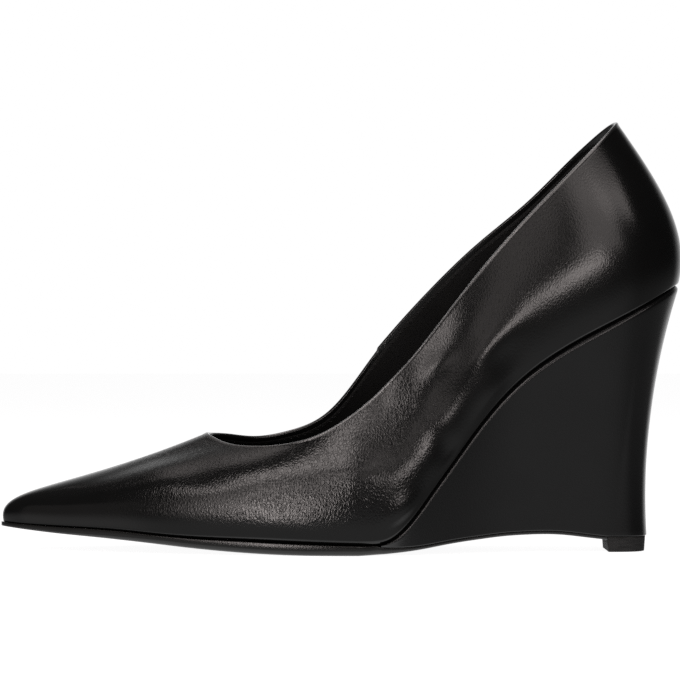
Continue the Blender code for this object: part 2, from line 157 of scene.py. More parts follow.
def spline(knots, values, at, closed=False):
    """Cubic through the rows with no jump in slope or bend: solve for the second derivative at
    each knot (zero at free ends, or joined up), then blend the two nearest rows."""
    gap = np.diff(knots)
    spans = len(gap)
    if closed:
        values = np.vstack([values, values[:1]])
    rate = np.diff(values, axis=0) / gap[:, None]
    size = spans if closed else spans + 1
    system = np.eye(size)
    load = np.zeros((size, values.shape[1]))
    for row in range(0 if closed else 1, spans):
        before = gap[row - 1]
        system[row, row] = 2 * (before + gap[row])
        system[row, row - 1] += before
        system[row, (row + 1) % size] += gap[row]
        load[row] = 6 * (rate[row] - rate[row - 1])
    bend = np.linalg.solve(system, load)
    span = np.clip(np.searchsorted(knots, at, "right") - 1, 0, spans - 1)
    after = (span + 1) % size
    width = gap[span][:, None]
    left = (knots[span + 1] - at)[:, None] / width
    right = 1 - left
    curve = left * values[span] + right * values[span + 1]
    sag = (left ** 3 - left) * bend[span] + (right ** 3 - right) * bend[after]
    return curve + sag * width ** 2 / 6


last_table = np.array([row[1:] for row in LAST_SECTIONS])
feather_step = np.diff(last_table[:, :2], axis=0, append=last_table[:1, :2])
top_step = np.diff(last_table[:, 2:5], axis=0, append=last_table[:1, 2:5])
section_step = (np.linalg.norm(feather_step, axis=1) + np.linalg.norm(top_step, axis=1)) / 2
section_knots = np.concatenate([[0.0], np.cumsum(section_step)])
ROUND_SHOE = section_knots[-1]
SEAM = section_knots[[row[0] for row in LAST_SECTIONS].index(SIDE_SEAM)]


def unit(vectors):
    """Vectors divided by their length."""
    return vectors / np.linalg.norm(vectors, axis=-1, keepdims=True)


def smooth(low, high, value):
    """0 below low, 1 above high, 3t^2 - 2t^3 between."""
    t = np.clip((value - low) / (high - low), 0, 1)
    return t * t * (3 - 2 * t)


def height_at(profile, x):
    """Height at x on the smooth line through a profile's rows of x and z."""
    return spline(profile[:, 0], profile[:, 1:], x)[:, 0]


def feather_height(x):
    """Height of the feather edge at x."""
    return height_at(FEATHER_PROFILE, x)


def feather_plan(around):
    """The feather edge in plan, and its outward direction, a quarter turn from the way round."""
    foot, ahead, behind = (
        spline(section_knots, last_table[:, :2], (around + step) % ROUND_SHOE, closed=True)
        for step in (0, PROBE, -PROBE))
    ahead = unit(ahead - behind)
    return foot, np.column_stack([-ahead[:, 1], ahead[:, 0]])


def wall_guides(around):
    """The four points that draw the wall at each place round the shoe: feather edge, then that
    raised and flared, then the topline drawn part of the way back to it, then the topline."""
    values = spline(section_knots, last_table, around % ROUND_SHOE, closed=True)
    foot, out = feather_plan(around)
    start = np.column_stack([foot, feather_height(foot[:, 0])])
    top = values[:, 2:5]
    rise, flare, pull, lift = values[:, 5:].T
    low = start + np.column_stack([out * flare[:, None], rise])
    high = top + (low - top) * pull[:, None]
    high[:, 2] += lift
    return start, low, high, top


def wall_point(around, up):
    """The last: a cubic Bezier from feather edge to topline, at the shares up of its run, given
    as one row for all the places or as a row for each."""
    up = np.broadcast_to(up, (len(around), np.shape(up)[-1]))[:, :, None]
    start, low, high, top = (guide[:, None, :] for guide in wall_guides(around))
    rest = 1 - up
    return rest ** 3 * start + 3 * rest ** 2 * up * low + 3 * rest * up ** 2 * high + up ** 3 * top


def wall_frame(around, up):
    """Points of the last with their outward and rising directions: the rise is the Bezier's own
    derivative, the outward direction crosses it with the way round."""
    share = np.broadcast_to(up, (len(around), np.shape(up)[-1]))[:, :, None]
    start, low, high, top = (guide[:, None, :] for guide in wall_guides(around))
    rest = 1 - share
    rising = rest ** 2 * (low - start) + 2 * rest * share * (high - low) + share ** 2 * (top - high)
    along = wall_point(around + PROBE, up) - wall_point(around - PROBE, up)
    return wall_point(around, up), unit(np.cross(rising, along)), unit(rising)


def fold_height(points):
    """How far the leather stands off the last at each point: every fold, on its own side, is its
    height times exp(-(along / half length)^2 - (across / half width)^2)."""
    x, z = points[..., 0], points[..., 2]
    side = np.where(points[..., 1] < 0, LATERAL, MEDIAL)
    total = np.zeros(x.shape)
    for _, on_side, height, half_width, half_length, angle, at_x, at_z in FOLDS:
        turn = np.radians(angle)
        along = (x - at_x) * np.cos(turn) + (z - at_z) * np.sin(turn)
        across = (z - at_z) * np.cos(turn) - (x - at_x) * np.sin(turn)
        mound = height * np.exp(-(along / half_length) ** 2 - (across / half_width) ** 2)
        total += np.where(side == on_side, mound, 0)
    return total


def quads(rows, columns, wrap_rows=False, wrap_columns=False, copies=1):
    """Corner numbers of a grid's quads, joined end to end where wrapped, for copies of the grid."""
    row, column = np.meshgrid(np.arange(rows - (not wrap_rows)),
                              np.arange(columns - (not wrap_columns)), indexing="ij")
    next_row, next_column = (row + 1) % rows, (column + 1) % columns
    corners = [row * columns + column, next_row * columns + column,
               next_row * columns + next_column, row * columns + next_column]
    one = np.stack(corners, -1).reshape(-1, 4)
    shift = np.arange(copies)[:, None, None] * rows * columns
    return (one + shift).reshape(-1, 4).tolist()


def add_piece(name, points, faces, material, replaces=None, fields=None):
    """A smooth mesh object at the origin from points in millimetres: welded where points meet,
    faces turned outwards, riding on the shoe's one body; fields are values at its points."""
    mesh = bpy.data.meshes.new(name)
    mesh.from_pydata((np.reshape(points, (-1, 3)) * MM).tolist(), [], faces)
    for field, values in (fields or {}).items():
        mesh.attributes.new(field, "FLOAT", "POINT").data.foreach_set(
            "value", np.ravel(values).astype(np.float32))
    work = bmesh.new()
    work.from_mesh(mesh)
    bmesh.ops.remove_doubles(work, verts=work.verts, dist=WELD * MM)
    bmesh.ops.dissolve_degenerate(work, edges=work.edges, dist=WELD * MM / 2)
    bmesh.ops.recalc_face_normals(work, faces=work.faces)
    work.to_mesh(mesh)
    work.free()
    mesh.polygons.foreach_set("use_smooth", np.ones(len(mesh.polygons), bool))
    mesh.materials.append(material)
    piece = bpy.data.objects.new(name, mesh)
    bpy.context.scene.collection.objects.link(piece)
    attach(piece, "root")
    if replaces:
        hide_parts(replaces)


def node(tree, kind, inputs=None, **settings):
    """A shader node with its settings, and inputs given as values or as other nodes' outputs."""
    made = tree.nodes.new("ShaderNode" + kind)
    for name, value in settings.items():
        setattr(made, name, value)
    for name, value in (inputs or {}).items():
        if isinstance(value, bpy.types.NodeSocket):
            tree.links.new(value, made.inputs[name])
        else:
            made.inputs[name].default_value = value
    return made


def maths(tree, operation, *values):
    """The output of one math node."""
    return node(tree, "Math", dict(enumerate(values)), operation=operation).outputs[0]


def spread(tree, value, low, high, to_low=0.0, to_high=1.0):
    """A value eased from one range to another."""
    ends = {"Value": value, "From Min": low, "From Max": high, "To Min": to_low, "To Max": to_high}
    return node(tree, "MapRange", ends, interpolation_type="SMOOTHSTEP").outputs["Result"]


def mixed(tree, share, first, second):
    """Two colours mixed by a share; a Mix node set to colours takes them at inputs 6 and 7."""
    inputs = {0: share, 6: (*first, 1.0), 7: (*second, 1.0)}
    return node(tree, "Mix", inputs, data_type="RGBA").outputs[2]


# The grain: how dense its noises are to the metre, and how strong each of them is.
UPRIGHT = 0.6
SWAY_SCALE, SWAY = 420.0, 0.0011
PORE_SCALE, PORE_DEPTH = 2100.0, 0.5
TONE_SCALE, TONE_GLOSS = 55.0, 0.4
CREASE_EDGE, CREASE_DEPTH, CREASE_DULL = 0.3, 0.7, 0.6
STRETCH_FLATTENS = 0.85
NOISE_RANGE = (0.3, 0.7)


def make_grain_group():
    """Grain of smooth leather on object coordinates: duller creases along the borders of upright
    Voronoi cells, swayed by a noise, with pores between them; a slow noise gives the tone."""
    group = bpy.data.node_groups.new("leather_grain", "ShaderNodeTree")
    for name in ("Cells", "Stretch"):
        group.interface.new_socket(name, in_out="INPUT", socket_type="NodeSocketFloat")
    for name in ("Height", "Tone", "Polish"):
        group.interface.new_socket(name, in_out="OUTPUT", socket_type="NodeSocketFloat")
    given = group.nodes.new("NodeGroupInput").outputs
    result = group.nodes.new("NodeGroupOutput").inputs
    place = node(group, "TexCoord").outputs["Object"]
    upright = node(group, "Mapping", {"Vector": place, "Scale": (1.0, 1.0, UPRIGHT)}).outputs[0]
    sway = node(group, "TexNoise", {"Vector": place, "Scale": SWAY_SCALE, "Detail": 2.0})
    sway = node(group, "VectorMath", {0: sway.outputs["Color"], "Scale": SWAY}, operation="SCALE")
    swayed = node(group, "VectorMath", {0: upright, 1: sway.outputs[0]}, operation="ADD")
    cells = node(group, "TexVoronoi", {"Vector": swayed.outputs[0], "Scale": given["Cells"]},
                 feature="DISTANCE_TO_EDGE")
    kept = maths(group, "MULTIPLY_ADD", given["Stretch"], -STRETCH_FLATTENS, 1.0)
    creases = spread(group, cells.outputs["Distance"], 0.0, CREASE_EDGE, 1.0, 0.0)
    creases = maths(group, "MULTIPLY", creases, kept)
    pores = node(group, "TexNoise", {"Vector": upright, "Scale": PORE_SCALE, "Detail": 2.0})
    pores = maths(group, "MULTIPLY", pores.outputs[0], kept)
    slow = node(group, "TexNoise", {"Vector": place, "Scale": TONE_SCALE, "Detail": 4.0})
    tone = spread(group, slow.outputs[0], *NOISE_RANGE)
    pores = maths(group, "MULTIPLY", pores, PORE_DEPTH)
    height = maths(group, "MULTIPLY_ADD", creases, -CREASE_DEPTH, pores)
    gloss = maths(group, "MULTIPLY_ADD", tone, TONE_GLOSS, 1 - TONE_GLOSS)
    polish = maths(group, "MULTIPLY_ADD", creases, -CREASE_DULL, gloss)
    for name, value in (("Height", height), ("Tone", tone), ("Polish", polish)):
        group.links.new(value, result[name])
    return group


def leather(name, grain, cells, depth, colours, roughness, stretch=None):
    """A leather: the grain's tone mixes two colours, its polish sets the gloss, its height bumps
    the surface by depth; stretch, a value or the mesh's own, pulls the grain flat."""
    material = bpy.data.materials.new(name)
    material.use_nodes = True
    tree = material.node_tree
    surface = tree.nodes["Principled BSDF"]
    if stretch is None:
        stretch = node(tree, "Attribute", attribute_name="stretch").outputs["Fac"]
    look = tree.nodes.new("ShaderNodeGroup")
    look.node_tree = grain
    look.inputs["Cells"].default_value = cells
    if isinstance(stretch, bpy.types.NodeSocket):
        tree.links.new(stretch, look.inputs["Stretch"])
    else:
        look.inputs["Stretch"].default_value = stretch
    bump = node(tree, "Bump", {"Height": look.outputs["Height"], "Distance": depth * MM})
    gloss = spread(tree, look.outputs["Polish"], 0.0, 1.0, roughness[1], roughness[0])
    tree.links.new(mixed(tree, look.outputs["Tone"], *colours), surface.inputs["Base Color"])
    tree.links.new(gloss, surface.inputs["Roughness"])
    tree.links.new(bump.outputs[0], surface.inputs["Normal"])
    return material


around = np.linspace(0, ROUND_SHOE, UPPER_COLUMNS, endpoint=False)
around = np.unique(np.append(around, SEAM + LAP_RAMP * np.linspace(-0.5, 1.5, LAP_COLUMNS)))
start, low, high, top = wall_guides(around)
foot_pace = 3 * np.linalg.norm(low - start, axis=1)[:, None]
top_pace = 3 * np.linalg.norm(top - high, axis=1)[:, None]
turn = np.linspace(np.pi / 2, 0, TURN_ROWS)
turn_in = np.interp(start[:, :1], *TURN_IN.T)
turn_up = turn_in * (1 - np.sin(turn)) / foot_pace
crest = 1 - EDGE_ROLL / top_pace
climb = np.linspace(0, 1, WALL_ROWS)[1:]
wall_up = np.hstack([turn_up, turn_up[:, -1:] + (crest - turn_up[:, -1:]) * climb])
inside_foot = turn_up[:, INSIDE_END, None]
inside_up = crest + (inside_foot - crest) * np.linspace(0, 1, INSIDE_ROWS)

past = np.clip(around - SEAM, 0, None)
lap = (LAP_STEP * np.clip(past / LAP_RAMP, 0, 1) * np.exp(-past / LAP_FADE))[:, None]
points, outward, rising = wall_frame(around, wall_up)
pulled = np.hstack([turn_in * (1 - np.cos(turn)), np.zeros((len(around), WALL_ROWS - 1))])
above_foot = wall_up * foot_pace
below_top = (1 - wall_up) * top_pace
bead = EDGE_BEAD * (1 - smooth(EDGE_BEAD_DEPTH / 2, EDGE_BEAD_DEPTH, below_top))
folds = fold_height(points) * smooth(*FOLD_FREE, above_foot)
raised = (lap * LAP_RISE * wall_up ** LAP_RISE_CURVE)[:, :, None]
outer = points + outward * (lap + bead + folds - pulled)[:, :, None] + rising * raised
tight = [smooth(*TIGHT_TOE, points[..., 0]), 1 - smooth(*TIGHT_FOOT, above_foot),
         QUARTER_PULL * smooth(*TIGHT_QUARTER, points[..., 0])]
stretch = np.max(tight, axis=0)

points, outward, rising = wall_frame(around, crest)
half_turn = np.linspace(0, np.pi, ROLL_ROWS)[1:-1]
tucked = fold_height(points)
stand = lap + EDGE_BEAD
middle = stand / 2 - EDGE_ROLL
sweep = middle + (stand / 2 + EDGE_ROLL) * np.cos(half_turn)
roll = points + outward * (sweep + tucked)[:, :, None]
roll = roll + rising * (EDGE_ROLL * np.sin(half_turn) + lap * LAP_RISE)[:, :, None]


def fold_inside(points, up):
    """The folds as the inner layers take them, gone where the insole holds the wall."""
    return fold_height(points) * smooth(*FOLD_FREE_INSIDE, up)


points, outward, rising = wall_frame(around, inside_up)
raised = (lap * LAP_RISE * inside_up ** LAP_RISE_CURVE)[:, :, None]
set_in = fold_inside(points, inside_up) - 2 * EDGE_ROLL
inner = points + outward * set_in[:, :, None] + rising * raised

shell = np.concatenate([outer, roll, inner], axis=1)
beyond = shell.shape[1] - stretch.shape[1]
pulls = np.hstack([stretch, np.repeat(stretch[:, -1:], beyond, axis=1)])
burnish = np.hstack([1 - smooth(*BURNISH_DEPTH, below_top),
                     np.tile(1 - smooth(*BURNISH_TURN, half_turn), (len(around), 1)),
                     np.zeros(inner.shape[:2])])
grain = make_grain_group()
nappa = leather("black_nappa", grain, cells=1080.0, depth=0.034, roughness=(0.15, 0.22),
                colours=((0.0034, 0.0034, 0.0034), (0.0050, 0.0050, 0.0050)))
surface = nappa.node_tree.nodes["Principled BSDF"]
edge = node(nappa.node_tree, "Attribute", attribute_name="burnish").outputs["Fac"]
nappa.node_tree.links.new(edge, surface.inputs["Coat Weight"])
surface.inputs["Coat IOR"].default_value = BURNISH_IOR
surface.inputs["Coat Roughness"].default_value = BURNISH_ROUGHNESS
add_piece("upper_leather", shell, quads(*shell.shape[:2], True, True), nappa,
          replaces="upper", fields={"stretch": pulls, "burnish": burnish})

# Lining: a thin black lining leather cemented to the inside of the upper.  It stops just below
# the folded top edge, and a row of fine stitches holds it there.
LINING_DROP = 1.7
LINING_GAP = 0.05
LINING_THICK = 0.4
LINING_ROWS = 34
LINING_END = 4
STITCH_BELOW = 1.0
STITCH_PITCH = 2.4
STITCH_LENGTH = 1.9
STITCH_SINK = 0.35
STITCH_RINGS = 7
STITCH_SIDES = 6
THREAD_RADIUS = 0.16
THREAD_LAY = 2600.0
THREAD_BUMP = 0.05
THREAD_COLOURS = ((0.002, 0.002, 0.002), (0.005, 0.005, 0.005))
THREAD_ROUGHNESS = (0.6, 0.45)
MATT_SPECULAR = 0.2

lining_top = 1 - (LINING_DROP + EDGE_ROLL) / top_pace
lining_foot = turn_up[:, LINING_END, None]
lining_up = lining_top + (lining_foot - lining_top) * np.linspace(0, 1, LINING_ROWS)
points, outward, rising = wall_frame(around, lining_up)
set_in = fold_inside(points, lining_up) - 2 * EDGE_ROLL - LINING_GAP
back = points + outward * set_in[:, :, None]
face = back - outward * LINING_THICK
edge = (back + face)[:, :1] / 2 + rising[:, :1] * LINING_THICK / 2
sheet = np.concatenate([face[:, ::-1], edge, back], axis=1)
lining_leather = leather("lining_leather", grain, cells=1500.0, depth=0.03, roughness=(0.6, 0.75),
                         colours=((0.0027, 0.0026, 0.0026), (0.0046, 0.0045, 0.0045)), stretch=0.3)
surface = lining_leather.node_tree.nodes["Principled BSDF"]
surface.inputs["Specular IOR Level"].default_value = MATT_SPECULAR
add_piece("upper_lining", sheet, quads(*sheet.shape[:2], True, True), lining_leather)


def stitches(name, centre, along, out, material):
    """A row of stitches: each a tube of flat sides along its own line, arched by the cosine of
    its run so that both ends sink in, and drawn to a point at both ends."""
    run = np.linspace(-1, 1, STITCH_RINGS)
    spin = np.arange(STITCH_SIDES) * np.pi / (STITCH_SIDES / 2)
    arch = THREAD_RADIUS * (np.cos(run * np.pi / 2) - STITCH_SINK)
    thick = THREAD_RADIUS * np.sqrt(np.clip(1 - run ** 4, 0, 1))
    across = np.cross(along, out)
    line = centre[:, None] + along[:, None] * (run * STITCH_LENGTH / 2)[:, None]
    line = line + out[:, None] * arch[:, None]
    ring = across[:, None, None] * np.cos(spin)[:, None]
    ring = ring + out[:, None, None] * np.sin(spin)[:, None]
    points = line[:, :, None] + ring * thick[:, None, None]
    faces = quads(STITCH_RINGS, STITCH_SIDES, wrap_columns=True, copies=len(centre))
    add_piece(name, points, faces, material)


def walked_along(path):
    """How far each point of a path lies from its start: the sum of the straight steps."""
    return np.concatenate([[0.0], np.cumsum(np.linalg.norm(np.diff(path, axis=0), axis=1))])


thread = bpy.data.materials.new("black_thread")
thread.use_nodes = True
tree = thread.node_tree
place = node(tree, "TexCoord").outputs["Object"]
lay = node(tree, "TexWave", {"Vector": place, "Scale": THREAD_LAY}, bands_direction="DIAGONAL")
bump = node(tree, "Bump", {"Height": lay.outputs["Fac"], "Distance": THREAD_BUMP * MM})
surface = tree.nodes["Principled BSDF"]
twist = mixed(tree, lay.outputs["Fac"], *THREAD_COLOURS)
gloss = spread(tree, lay.outputs["Fac"], 0.0, 1.0, *THREAD_ROUGHNESS)
tree.links.new(twist, surface.inputs["Base Color"])
tree.links.new(gloss, surface.inputs["Roughness"])
tree.links.new(bump.outputs[0], surface.inputs["Normal"])

row_up = 1 - (LINING_DROP + EDGE_ROLL + STITCH_BELOW) / top_pace
path = wall_frame(around, row_up)[0][:, 0]
walked = walked_along(np.vstack([path, path[:1]]))
count = int(walked[-1] / STITCH_PITCH)
at = np.interp(np.arange(count) / count * walked[-1], walked, np.append(around, ROUND_SHOE))
row_up = np.interp(at, around, row_up[:, 0])[:, None]
points, outward, rising = (field[:, 0] for field in wall_frame(at, row_up))
set_in = fold_height(points) - 2 * EDGE_ROLL - LINING_GAP - LINING_THICK
points = points + outward * set_in[:, None]
stitches("topline_stitches", points, unit(np.cross(outward, rising)), -outward, thread)

# Side seam: the quarter's front edge laps over the vamp on the medial side and is sewn down with
# one row of stitches close to the edge, from the feather edge to the topline.
SEAM_ROW = 2.0
SEAM_PITCH = 2.5
SEAM_SPAN = (0.06, 0.94)
SEAM_STEPS = 400

seam_at = np.array([SEAM + LAP_RAMP + SEAM_ROW])
fine_up = np.linspace(*SEAM_SPAN, SEAM_STEPS)
path = wall_frame(seam_at, fine_up)[0][0]
walked = walked_along(path)
count = int(walked[-1] / SEAM_PITCH)
row_up = np.interp((np.arange(count) + 0.5) / count * walked[-1], walked, fine_up)
points, outward, rising = (field[0] for field in wall_frame(seam_at, row_up))
stand = LAP_STEP * np.exp(-(LAP_RAMP + SEAM_ROW) / LAP_FADE) + fold_height(points)
stitches("side_seam_stitches", points + outward * stand[:, None], rising, outward, thread)

# Insole: the board inside the shoe, lying on the sole and the wedge, under a sock of smooth
# black leather that is cemented over it and turned round its edge.
WALL = 1.6
INSOLE_THICK = 2.4
INSOLE_CLEARANCE = 0.4
INSOLE_STATIONS = 150
DENSE = 2400


def outline(offset):
    """Feather edge in plan moved out by offset: its two ends in x, and both sides as y at x."""
    foot, out = feather_plan(np.linspace(0, ROUND_SHOE, DENSE, endpoint=False))
    x, y = (foot + offset * out).T
    first = int(np.argmax(x))
    x = np.append(np.roll(x, -first), x[first])
    y = np.append(np.roll(y, -first), y[first])
    tip = int(np.argmin(x))

    def sides(at):
        """Lateral and medial y at x, straight between the outline's close points."""
        return np.interp(at, x[tip::-1], y[tip::-1]), np.interp(at, x[tip:], y[tip:])
    return x[tip], x[0], sides


def stations(start, end, count):
    """Places from start to end on a cosine, closer together towards both."""
    return start + (end - start) * (1 - np.cos(np.pi * np.arange(count + 1) / count)) / 2


def below_feather(x, depth):
    """Points of the feather profile moved straight off its line by depth, downwards if positive."""
    slope = (feather_height(x + PROBE) - feather_height(x - PROBE)) / (2 * PROBE)
    run = np.sqrt(1 + slope ** 2)
    return x + depth * slope / run, feather_height(x) - depth / run


def slab(low_face, top_face, lateral, medial, roundings, across=14, corner=6):
    """A flat piece with rounded edges: at each station a closed loop goes over the lower face to
    the lateral edge, round two quarter circles, back over the upper face and down the medial
    edge.  low_face and top_face are x and z; lateral and medial are y below and y above, and
    roundings the radii below and above."""
    low_face, top_face = np.column_stack(low_face), np.column_stack(top_face)
    thick = np.linalg.norm(top_face - low_face, axis=1)[:, None]
    width = (medial[0] - lateral[0])[:, None]
    bend = np.linspace(0, np.pi / 2, corner)
    share = np.linspace(0, 1, across)[1:-1]
    parts = []
    for face, rounding in enumerate(roundings):
        room = np.minimum(thick * rounding / sum(roundings), width / 2)
        radius = np.minimum(rounding, room)
        inset, rise = radius * (1 - np.sin(bend)), radius * (1 - np.cos(bend))
        height = thick - rise if face else rise
        near, far = lateral[face][:, None], medial[face][:, None]
        middle = near + radius + (far - near - 2 * radius) * share
        flat = np.repeat(height[:, :1], len(share), axis=1)
        parts.append((np.hstack([far - inset[:, ::-1], middle[:, ::-1], near + inset]),
                      np.hstack([height[:, ::-1], flat, height])))
    y = np.hstack([parts[0][0], parts[1][0][:, ::-1]])
    level = np.hstack([parts[0][1], parts[1][1][:, ::-1]]) / thick
    plane = low_face[:, None] + (top_face - low_face)[:, None] * level[:, :, None]
    return np.stack([plane[..., 0], y, plane[..., 1]], axis=-1)


toe, heel, sides = outline(-WALL - INSOLE_CLEARANCE)
x = stations(toe, heel, INSOLE_STATIONS)
lateral, medial = sides(x)
board = slab(below_feather(x, 0.0), below_feather(x, -INSOLE_THICK), (lateral, lateral),
             (medial, medial), (INSOLE_THICK / 2, INSOLE_THICK / 2))
sock = leather("sock_leather", grain, cells=1300.0, depth=0.05, roughness=(0.42, 0.58),
               colours=((0.0050, 0.0048, 0.0046), (0.0080, 0.0077, 0.0073)), stretch=0.2)
add_piece("insole_sock", board, quads(*board.shape[:2], wrap_columns=True), sock,
          replaces="insole")

# Wedge heel: a block covered in the same black leather, pulled tight and smooth.  The cover rolls
# over the block's top edge under the upper and is turned in below; the back is slightly hollow.
SEAT_GAP = 0.12
WEDGE_MARGIN = 0.5
WEDGE_FRONT = 14.0
WEDGE_BACK = 107.3
WEDGE_HOLLOW_SIDE = 0.8
WEDGE_HOLLOW_BACK = 6.0
BACK_SQUARENESS = 2.6
HEEL_HEIGHT = 93.0
COVER_ROLL = 2.2
COVER_FOOT_ROLL = 0.5
ROLL_SHARE = 0.4
WEDGE_STATIONS = 150
WEDGE_ROWS = 60
ROLL_STEPS = 7

# Upper face z of the outsole at x behind the tread; the last row is the top piece's seat.
UNDER_PROFILE = np.array([
    (6.0, 2.90), (14.0, 2.75), (21.0, 2.65), (28.0, 3.15), (35.0, 4.25), (42.0, 5.30),
    (49.0, 6.15), (56.0, 6.90), (63.0, 7.30), (70.0, 7.45), (77.0, 7.15), (85.0, 6.20),
    (93.0, 5.20),
])
# The wedge's lower outline: x, lateral y, medial y.
WEDGE_FOOT = np.array([
    (14.0, -35.6, 30.1), (22.0, -33.5, 27.8), (31.0, -30.2, 24.8), (42.0, -25.9, 21.7),
    (56.0, -21.2, 18.8), (70.0, -17.9, 16.4), (84.0, -15.2, 14.5), (95.0, -13.5, 13.3),
])


def under_height(x):
    """Upper face of the outsole behind the tread, level at the top piece's seat."""
    return height_at(UNDER_PROFILE, np.minimum(x, UNDER_PROFILE[-1, 0]))


def wedge_foot(x):
    """The wedge's lower outline in plan: both sides, drawn in round the back by a superellipse."""
    rows = WEDGE_FOOT[:, 0]
    both = spline(rows, WEDGE_FOOT[:, 1:], np.minimum(x, rows[-1]))
    past = np.clip((x - rows[-1]) / (WEDGE_BACK - rows[-1]), 0, 1)
    round_back = (1 - past ** BACK_SQUARENESS) ** (1 / BACK_SQUARENESS)
    return both[:, 0] * round_back, both[:, 1] * round_back


def there_and_back(x, y, z):
    """A loop from the front along the lateral side to the back and home along the medial side."""
    return np.vstack([np.column_stack([x, y[0], z]), np.column_stack([x, y[1], z])[-2::-1]])


_, heel, sides = outline(WEDGE_MARGIN)
high = stations(WEDGE_FRONT, heel, WEDGE_STATIONS)
low = stations(WEDGE_FRONT, WEDGE_BACK, WEDGE_STATIONS)
high_x, high_z = below_feather(high, SEAT_GAP)
top_loop = there_and_back(high_x, sides(high), high_z)
foot_loop = there_and_back(low, wedge_foot(low), under_height(low) + SEAT_GAP)
chord = top_loop - foot_loop
inward = unit(np.gradient((top_loop + foot_loop)[:, :2], axis=0))
inward = np.column_stack([-inward[:, 1], inward[:, 0], np.zeros(len(inward))])
hollow = WEDGE_HOLLOW_SIDE + (WEDGE_HOLLOW_BACK - WEDGE_HOLLOW_SIDE) * inward[:, :1] ** 2
hollow = inward * hollow * np.clip(chord[:, 2:] / HEEL_HEIGHT, 0, 1)
tall = np.linalg.norm(chord, axis=1)[:, None]
top_roll = np.minimum(COVER_ROLL, ROLL_SHARE * tall)
foot_roll = np.minimum(COVER_FOOT_ROLL, ROLL_SHARE * tall)
share = (foot_roll + (tall - top_roll - foot_roll) * np.linspace(0, 1, WEDGE_ROWS)) / tall
share = share.T[:, :, None]
# Each side is a cubic Bezier from foot to top, its two middle points moved in by the hollow.
side = foot_loop + chord * share + 3 * hollow * share * (1 - share)
bend = np.linspace(0, np.pi / 2, ROLL_STEPS)[1:, None, None]
up_top = unit(chord - 3 * hollow)
up_foot = unit(chord + 3 * hollow)
top_edge = side[-1] + inward * top_roll * (1 - np.cos(bend)) + up_top * top_roll * np.sin(bend)
foot_edge = side[0] + inward * foot_roll * (1 - np.cos(bend)) - up_foot * foot_roll * np.sin(bend)
cover = np.concatenate([foot_edge[::-1], side, top_edge])
rows, count = cover.shape[:2]
faces = quads(rows, count)
number = np.arange(rows * count).reshape(rows, count)
for near, far in ((number[0, :WEDGE_STATIONS + 1], number[0, :WEDGE_STATIONS - 1:-1]),
                  (number[-1, :WEDGE_STATIONS + 1], number[-1, :WEDGE_STATIONS - 1:-1]),
                  (number[:, 0], number[:, -1])):
    faces += np.column_stack([near[:-1], near[1:], far[1:], far[:-1]]).tolist()
cover_leather = leather("wedge_cover_leather", grain, cells=1200.0, depth=0.02,
                        roughness=(0.20, 0.28), stretch=0.5,
                        colours=((0.0040, 0.0040, 0.0042), (0.0054, 0.0054, 0.0056)))
add_piece("wedge_cover", cover, faces, cover_leather, replaces="wedge_heel")

# Outsole: black leather, full width and edge-trimmed under the forefoot, a thin sheet up the arch
# to the top piece; cemented on, its edge inked and burnished.
SOLE_MARGIN = 0.8
SOLE_INSET = 0.3
SOLE_GAP = 0.03
SOLE_JOINT = 1.5
SOLE_ROUND_ABOVE = 0.3
SOLE_STATIONS = 200
TOP_PIECE_FRONT = 92.8
TREAD_FRONT = -10.0
TREAD_BACK = 6.0

# Radius of the sole's lower edge at x: the toe's tip is left full, the rest well rounded.
SOLE_ROUND_BELOW = np.array([(-119.0, 0.7), (-95.0, 1.2), (-60.0, 2.4)])
# Underside z of the sole at x, in front of the flat tread and behind it.
TOE_SPRING = np.array([
    (-119.4, 8.3), (-101.0, 6.45), (-83.5, 5.2), (-66.0, 3.7), (-48.0, 1.95), (-31.0, 0.7),
    (-18.0, 0.15), (-10.0, 0.0),
])
ARCH_PROFILE = np.array([
    (6.0, 0.0), (14.0, 0.45), (21.0, 1.1), (28.0, 2.0), (35.0, 3.2), (42.0, 4.25), (49.0, 5.1),
    (56.0, 5.85), (63.0, 6.25), (70.0, 6.4), (77.0, 6.1), (85.0, 5.15), (93.0, 4.2),
])


def ground_height(x):
    """Underside of the outsole: toe spring, a flat tread on the floor, then the arch."""
    spring = np.where(x < TREAD_FRONT, height_at(TOE_SPRING, x), 0.0)
    return np.where(x > TREAD_BACK, height_at(ARCH_PROFILE, x), spring).clip(0.0)


toe, _, sides = outline(SOLE_MARGIN)
x = stations(toe, TOP_PIECE_FRONT - SEAT_GAP, SOLE_STATIONS)
blend = smooth(TREAD_BACK, WEDGE_FRONT, x)
forepart = sides(x)
rear = wedge_foot(np.maximum(x, WEDGE_FRONT))
lateral = forepart[0] * (1 - blend) + (rear[0] + SOLE_INSET) * blend
medial = forepart[1] * (1 - blend) + (rear[1] - SOLE_INSET) * blend
behind = smooth(WEDGE_FRONT - SOLE_JOINT, WEDGE_FRONT, x)
top_z = (feather_height(x) - SOLE_GAP) * (1 - behind)
top_z = top_z + under_height(np.maximum(x, TREAD_BACK)) * behind
sole = slab((x, ground_height(x)), (x, top_z), (lateral, lateral), (medial, medial),
            (np.interp(x, *SOLE_ROUND_BELOW.T)[:, None], SOLE_ROUND_ABOVE))
rows, count = sole.shape[:2]
faces = quads(rows, count, wrap_columns=True) + [list(range((rows - 1) * count, rows * count))]
sole_leather = leather("sole_leather", grain, cells=900.0, depth=0.02, roughness=(0.20, 0.28),
                       colours=((0.0045, 0.0043, 0.0040), (0.0080, 0.0077, 0.0072)), stretch=0.7)
add_piece("outsole_leather", sole, faces, sole_leather, replaces="outsole")

